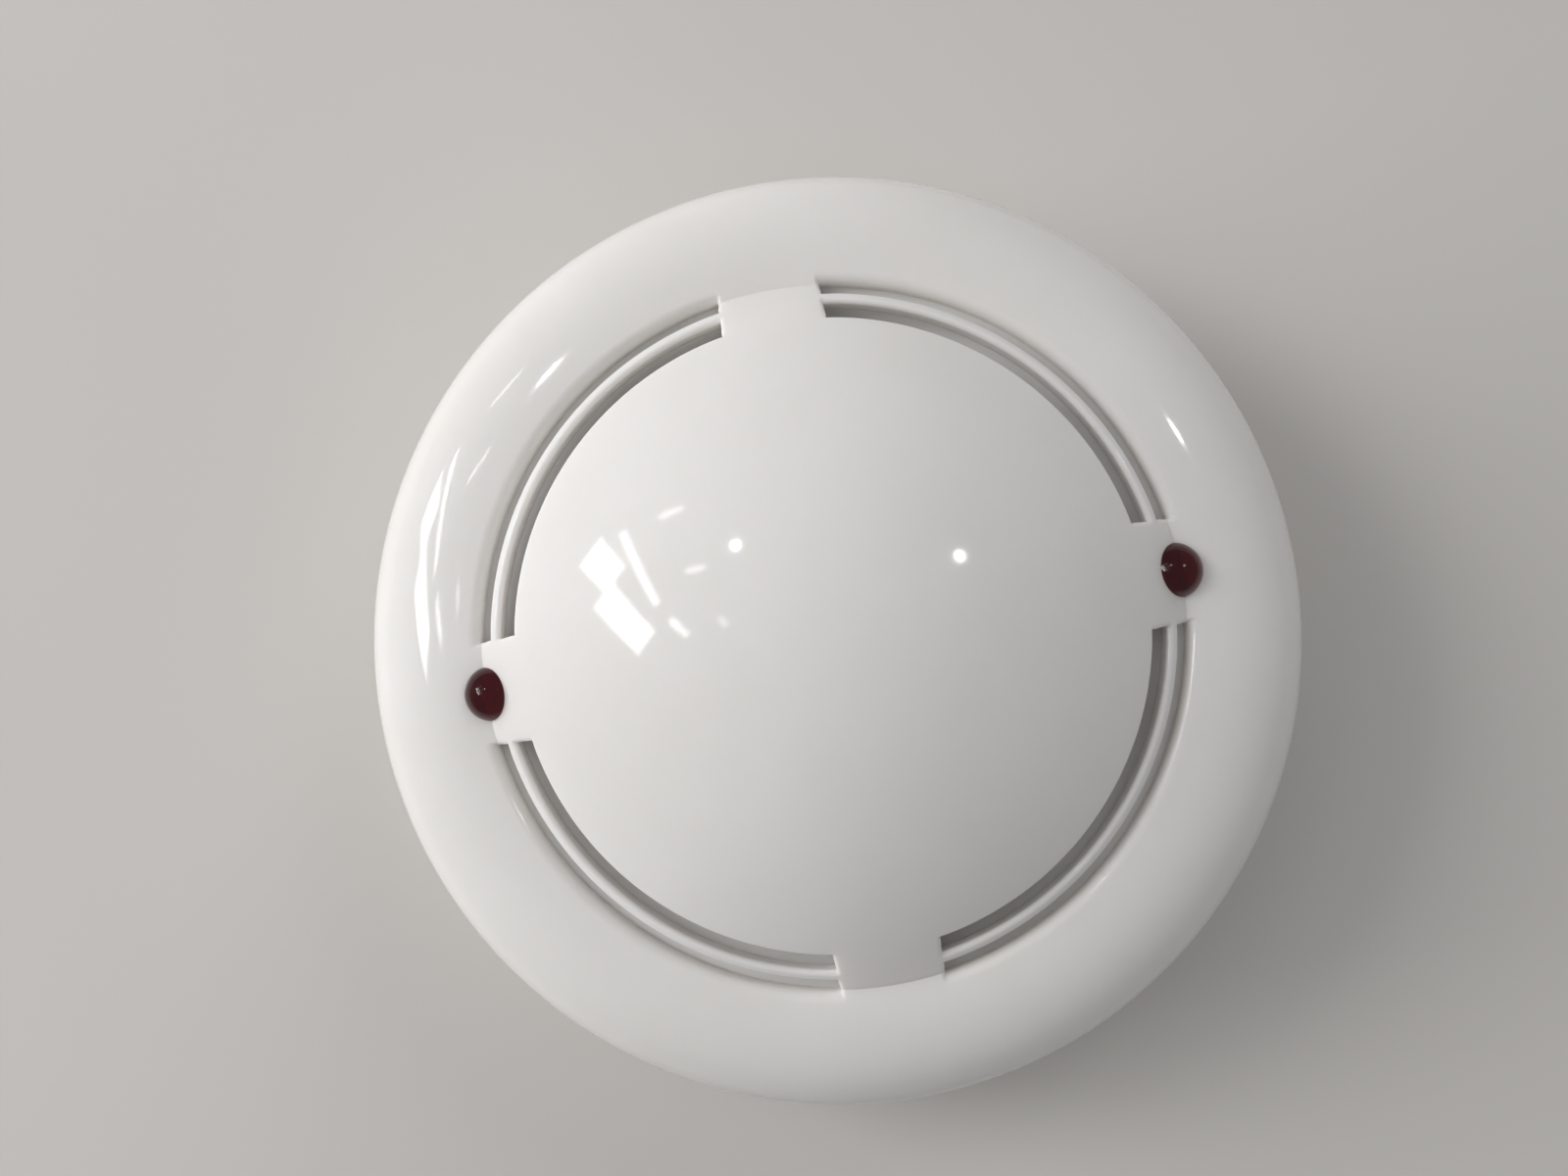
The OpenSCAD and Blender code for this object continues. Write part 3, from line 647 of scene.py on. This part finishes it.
def moulded_abs(name, pale, shade, roughness, grain_mm, grain_depth_mm, flecks):
    """Injection-moulded ABS: warm white, slightly translucent, a close gloss over a slight
    unevenness of the skin, a cloudy drift of colour, and now and then a dark fleck."""
    material, tree, coords, shader = new_material(name)
    drift = between(tree, noise(tree, coords, 26.0, 3.0, 0.55), 0.0, 1.0)
    colour = blend(tree, drift, linear(pale), linear(shade))
    if flecks:
        cells = add_node(tree, "TexVoronoi", {"Vector": coords, "Scale": per_mm(4.6)})
        chosen = add_node(
            tree, "SeparateColor", {"Color": cells.outputs["Color"]}
        ).outputs["Red"]
        size = between(tree, chosen, 0.0, 0.034, 0.93, 1.0)
        spot = add_node(
            tree,
            "Math",
            {0: cells.outputs["Distance"], 1: size},
            operation="LESS_THAN",
        ).outputs["Value"]
        colour = blend(tree, spot, colour, linear("#8d857c"))
    tree.links.new(colour, shader.inputs["Base Color"])
    smears = noise(tree, coords, 17.0, 4.0, 0.6)
    gloss = between(tree, smears, roughness * 0.85, roughness * 1.25)
    tree.links.new(gloss, shader.inputs["Roughness"])
    shader.inputs["IOR"].default_value = 1.53
    shader.inputs["Subsurface Weight"].default_value = 0.5
    shader.inputs["Subsurface Radius"].default_value = (1.0, 0.9, 0.8)
    shader.inputs["Subsurface Scale"].default_value = 3.5 * MM
    skin = relief(tree, shader, noise(tree, coords, grain_mm, 2.0), grain_depth_mm)
    relief(tree, shader, noise(tree, coords, 9.0, 1.0), grain_depth_mm * 2, skin)
    return material


def dyed_acrylic():
    """Moulded acrylic dyed deep red: polished, almost black in its depth and red at its rim."""
    material, tree, coords, shader = new_material("acrylic_dyed_red")
    depth = between(tree, noise(tree, coords, 5.0, 2.0), 0.0, 1.0)
    tree.links.new(
        blend(tree, depth, linear("#520d16"), linear("#440a12")),
        shader.inputs["Base Color"],
    )
    shader.inputs["IOR"].default_value = 1.49
    shader.inputs["Transmission Weight"].default_value = 0.92
    tree.links.new(
        between(tree, noise(tree, coords, 1.8, 2.0), 0.02, 0.06),
        shader.inputs["Roughness"],
    )
    return material


def rolled_metal(name, bright, dull, roughness, line_mm, line_depth_mm):
    """Sheet or bar metal with the fine lines of rolling or turning, and a patchy dullness."""
    material, tree, coords, shader = new_material(name)
    patches = between(tree, noise(tree, coords, 3.5, 4.0, 0.6), 0.0, 1.0, 0.3, 0.7)
    tree.links.new(
        blend(tree, patches, linear(bright), linear(dull)), shader.inputs["Base Color"]
    )
    shader.inputs["Metallic"].default_value = 1.0
    tree.links.new(
        between(tree, patches, roughness, roughness * 1.6, 0.0, 1.0),
        shader.inputs["Roughness"],
    )
    stretched = add_node(
        tree, "Mapping", {"Vector": coords, "Scale": (1.0, 1.0, 12.0)}
    ).outputs["Vector"]
    relief(tree, shader, noise(tree, stretched, line_mm, 2.0), line_depth_mm)
    return material


def laminate():
    """Glass-epoxy laminate under green solder mask: a weave below and raised copper tracks."""
    material, tree, coords, shader = new_material("glass_epoxy_green_mask")
    tracks = add_node(
        tree,
        "TexBrick",
        {
            "Vector": coords,
            "Scale": per_mm(4.0),
            "Mortar Size": 0.09,
            "Mortar Smooth": 0.1,
            "Brick Width": 0.8,
            "Row Height": 0.45,
        },
    ).outputs["Fac"]
    weave = between(tree, noise(tree, coords, 0.8, 2.0), 0.0, 1.0)
    mask = blend(tree, weave, linear("#20623a"), linear("#1a5431"))
    tree.links.new(
        blend(tree, tracks, mask, linear("#2f7d4b")), shader.inputs["Base Color"]
    )
    shader.inputs["IOR"].default_value = 1.55
    tree.links.new(between(tree, weave, 0.28, 0.36), shader.inputs["Roughness"])
    relief(tree, shader, tracks, 0.035)
    return material


def cast_plastic(name, base, other, roughness, grain_mm, depth_mm):
    """Cast or dipped resin with a slight grain, as on chips, beads, diodes and capacitors."""
    material, tree, coords, shader = new_material(name)
    grain = noise(tree, coords, grain_mm, 3.0, 0.6)
    tree.links.new(
        blend(tree, between(tree, grain, 0.0, 1.0), linear(base), linear(other)),
        shader.inputs["Base Color"],
    )
    shader.inputs["IOR"].default_value = 1.55
    tree.links.new(
        between(tree, grain, roughness * 0.85, roughness * 1.2),
        shader.inputs["Roughness"],
    )
    relief(tree, shader, grain, depth_mm)
    return material


def drawn_glass():
    """Drawn soda glass with a green cast, seen through at its thin wall."""
    material, tree, coords, shader = new_material("glass_drawn_green")
    cast = between(tree, noise(tree, coords, 4.0, 2.0), 0.0, 1.0)
    tree.links.new(
        blend(tree, cast, linear("#a9c9b8"), linear("#9abfac")),
        shader.inputs["Base Color"],
    )
    shader.inputs["IOR"].default_value = 1.52
    shader.inputs["Transmission Weight"].default_value = 0.85
    tree.links.new(
        between(tree, noise(tree, coords, 1.0, 2.0), 0.03, 0.08),
        shader.inputs["Roughness"],
    )
    return material


def finishes():
    """The finish of each material slot of the record."""
    brass = ("#d9b45f", "#b98f3f")
    steel = ("#c9ccd0", "#a4a8ad")
    black = ("#26282b", "#303235")
    return {
        "cover_shell": moulded_abs(
            "abs_moulded_gloss", "#e9e6e3", "#e5e2de", 0.065, 1.5, 0.0009, True
        ),
        "base_shell": moulded_abs(
            "abs_moulded_satin", "#e6e3de", "#e0dcd6", 0.34, 0.7, 0.01, True
        ),
        "chassis_shell": moulded_abs(
            "abs_moulded_plain", "#dad8d3", "#d3d0ca", 0.4, 0.6, 0.012, False
        ),
        "baffle_shell": moulded_abs(
            "abs_moulded_baffle", "#e2e0db", "#dad7d1", 0.36, 0.7, 0.01, False
        ),
        "lens_red": dyed_acrylic(),
        "spring_brass": rolled_metal("bronze_spring_strip", *brass, 0.24, 0.3, 0.004),
        "blade_brass": rolled_metal(
            "brass_sheet_punched", "#dcc585", "#bfa35f", 0.22, 0.3, 0.004
        ),
        "plated_steel": rolled_metal("steel_zinc_plated", *steel, 0.28, 0.4, 0.004),
        "screw_steel": rolled_metal(
            "steel_screw_passivated", "#bfc3c7", "#979ca2", 0.3, 0.25, 0.005
        ),
        "board_laminate": laminate(),
        "bead_epoxy": cast_plastic("epoxy_dipped", "#1d2226", "#2a3036", 0.16, 0.9, 0.01),
        "tinned_wire": rolled_metal("copper_tinned", "#cfd2d4", "#adb1b5", 0.25, 0.3, 0.002),
        "diode_body": cast_plastic("resin_white", "#e2dccf", "#d6cfbf", 0.3, 0.4, 0.004),
        "chip_epoxy": cast_plastic("epoxy_moulded", *black, 0.5, 0.12, 0.006),
        "can_aluminium": rolled_metal(
            "aluminium_drawn", "#d3d5d7", "#b5b8bb", 0.2, 0.4, 0.003
        ),
        "capacitor_body": cast_plastic("resin_filled_tan", "#c48a3f", "#b47c35", 0.35, 0.3, 0.005),
        "reed_glass": drawn_glass(),
    }


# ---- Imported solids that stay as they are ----


def dress_solids(finish):
    """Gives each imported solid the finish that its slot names."""
    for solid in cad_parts.values():
        for place_in_list, packed in enumerate(solid.data.materials):
            slot_name = packed.name.split(".")[0]
            solid.data.materials[place_in_list] = finish[slot_name]


# ---- Floor, camera and lamps ----


FLOOR_HALF_MM = 1500.0


def make_floor():
    """Plain pale floor that the base stands on."""
    material, tree, coords, shader = new_material("floor_paint_matt")
    drift = between(tree, noise(tree, coords, 180.0, 2.0), 0.0, 1.0)
    tree.links.new(
        blend(tree, drift, linear("#cfccc8"), linear("#c9c6c2")),
        shader.inputs["Base Color"],
    )
    shader.inputs["Roughness"].default_value = 0.7
    bm = bmesh.new()
    ends = (-FLOOR_HALF_MM, FLOOR_HALF_MM)
    add_grid(bm, [[(x, y, 0.0) for x in ends] for y in ends])
    floor = finished(bm, "floor", material)


# Camera: turns about its own axes, and where the object's centre lies from it
CAMERA_TURN_DEG = (-2.475, -2.558, 10.193)
OBJECT_FROM_CAMERA_MM = Vector((6.161, -6.012, -158.916))
FOCAL_MM, SENSOR_MM = 28.035, 36.0
PICTURE_PX = (1600, 1200)


def view_rotation():
    """Rotation from the object's frame to the camera's."""
    about_x, about_y, about_z = (math.radians(t) for t in CAMERA_TURN_DEG)
    return (
        Matrix.Rotation(about_x, 3, "X")
        @ Matrix.Rotation(about_y, 3, "Y")
        @ Matrix.Rotation(about_z, 3, "Z")
    )


def make_camera():
    """Camera almost face on to the cap."""
    data = bpy.data.cameras.new("camera")
    data.lens, data.sensor_width = FOCAL_MM, SENSOR_MM
    data.clip_start, data.clip_end = 0.01, 20.0
    camera = bpy.data.objects.new("camera", data)
    bpy.context.scene.collection.objects.link(camera)
    back = view_rotation().transposed()
    camera.matrix_world = Matrix.Translation(
        -(back @ OBJECT_FROM_CAMERA_MM) * MM
    ) @ back.to_4x4()
    bpy.context.scene.camera = camera


def lamp(name, azimuth, elevation, distance, size, watts, seen="both", turn=0.0):
    """Rectangular lamp that faces the object from that direction, in degrees and metres.
    seen tells whether it lights the object, shows as a reflection in its gloss, or both."""
    data = bpy.data.lights.new(name, "AREA")
    data.shape = "RECTANGLE"
    data.size, data.size_y = size
    data.energy = watts
    a, e = math.radians(azimuth), math.radians(elevation)
    towards = Vector((math.cos(a) * math.cos(e), math.sin(a) * math.cos(e), math.sin(e)))
    obj = bpy.data.objects.new(name, data)
    bpy.context.scene.collection.objects.link(obj)
    obj.location = towards * distance + Vector((0, 0, 0.03))
    obj.rotation_mode = "QUATERNION"
    facing = towards.to_track_quat("Z", "Y")
    obj.rotation_quaternion = facing @ Quaternion((0, 0, 1), math.radians(turn))
    obj.visible_glossy = seen != "light"
    obj.visible_diffuse = seen != "gloss"
    return data


def make_world():
    """Even pale surroundings that fill the shadows."""
    world = bpy.data.worlds.new("studio")
    world.use_nodes = True
    background = world.node_tree.nodes["Background"]
    background.inputs["Color"].default_value = linear("#f2f3f5")
    background.inputs["Strength"].default_value = 0.22
    bpy.context.scene.world = world


# Soft lamps: azimuth, elevation, distance, size and watts
SOFT_LAMPS = {
    "window_left": (150, 35, 1.6, (0.6, 0.6), 8.2),
    "low_left": (165, 12, 1.6, (1.0, 0.5), 13.0),
    "near_left": (160, 45, 0.45, (0.3, 0.3), 0.32),
    "side_right": (45, 35, 1.6, (0.6, 0.6), 3.2),
    "low_top": (60, 12, 1.6, (0.6, 0.6), 2.0),
    "overhead_left": (120, 60, 1.6, (0.6, 0.6), 1.5),
    "overhead_right": (300, 60, 1.6, (0.6, 0.6), 1.6),
    "overhead": (0, 89, 1.6, (0.6, 0.6), 0.9),
}
# Lights that show only as reflections on the cap: the pixel where each one's middle shows.
# A pane also has its width and height at PANE_M, and the turn about its own axis.
PANE_W_PER_M2 = 25.0
PANE_M = 1.0
PANES = {
    "pane_top": ((613, 577), 0.13, 0.17, -25),
    "pane_middle": ((635, 632), 0.12, 0.27, -38),
    "pane_bar": ((650, 580), 0.035, 0.33, -40),
    "strip_top": ((683, 522), 0.018, 0.10, 57),
    "strip_low": ((708, 580), 0.016, 0.085, 37),
    "corner": ((691, 640), 0.03, 0.10, -36),
    "chink": ((737, 634), 0.012, 0.045, -40),
}
CEILING_LAMPS = {"ceiling_lamp_1": (750, 556), "ceiling_lamp_2": (980, 567)}
CEILING_M = 2.2
CEILING_WIDE = 0.06
CEILING_W = 1.2


def mirrored_from(pixel):
    """Azimuth and elevation that the cap mirrors to the camera at that pixel, in degrees."""
    wide, high = PICTURE_PX
    back = view_rotation().transposed()
    focal_px = FOCAL_MM / SENSOR_MM * wide
    ray = back @ Vector((pixel[0] - wide / 2, high / 2 - pixel[1], -focal_px))
    ray.normalize()
    eye = -(back @ OBJECT_FROM_CAMERA_MM) - Vector((0, 0, CAP_CENTRE_MM))
    along = eye.dot(ray)
    reach = -along - math.sqrt(along**2 - eye.length_squared + CAP_CURVE_MM**2)
    out = ray.reflect((eye + ray * reach).normalized())
    return math.degrees(math.atan2(out.y, out.x)), math.degrees(math.asin(out.z))


def make_lamps():
    """Soft light mostly from the left, a window's panes and two round ceiling lamps."""
    for name, placing in SOFT_LAMPS.items():
        lamp(name, *placing, seen="light")
    for name, (pixel, wide, high, turn) in PANES.items():
        watts = PANE_W_PER_M2 * wide * high
        lamp(name, *mirrored_from(pixel), PANE_M, (wide, high), watts, "gloss", turn)
    for name, pixel in CEILING_LAMPS.items():
        size = (CEILING_WIDE, CEILING_WIDE)
        ceiling = lamp(name, *mirrored_from(pixel), CEILING_M, size, CEILING_W, "gloss")
        ceiling.shape = "DISK"


# ---- Assembly ----

finish = finishes()
dress_solids(finish)
make_cover(finish["cover_shell"])
for lens_name, lens_side in LENS_SIDES.items():
    make_lens(lens_name, lens_side, finish["lens_red"])
make_floor()
make_camera()
make_world()
make_lamps()
bpy.context.scene.view_settings.view_transform = "Standard"
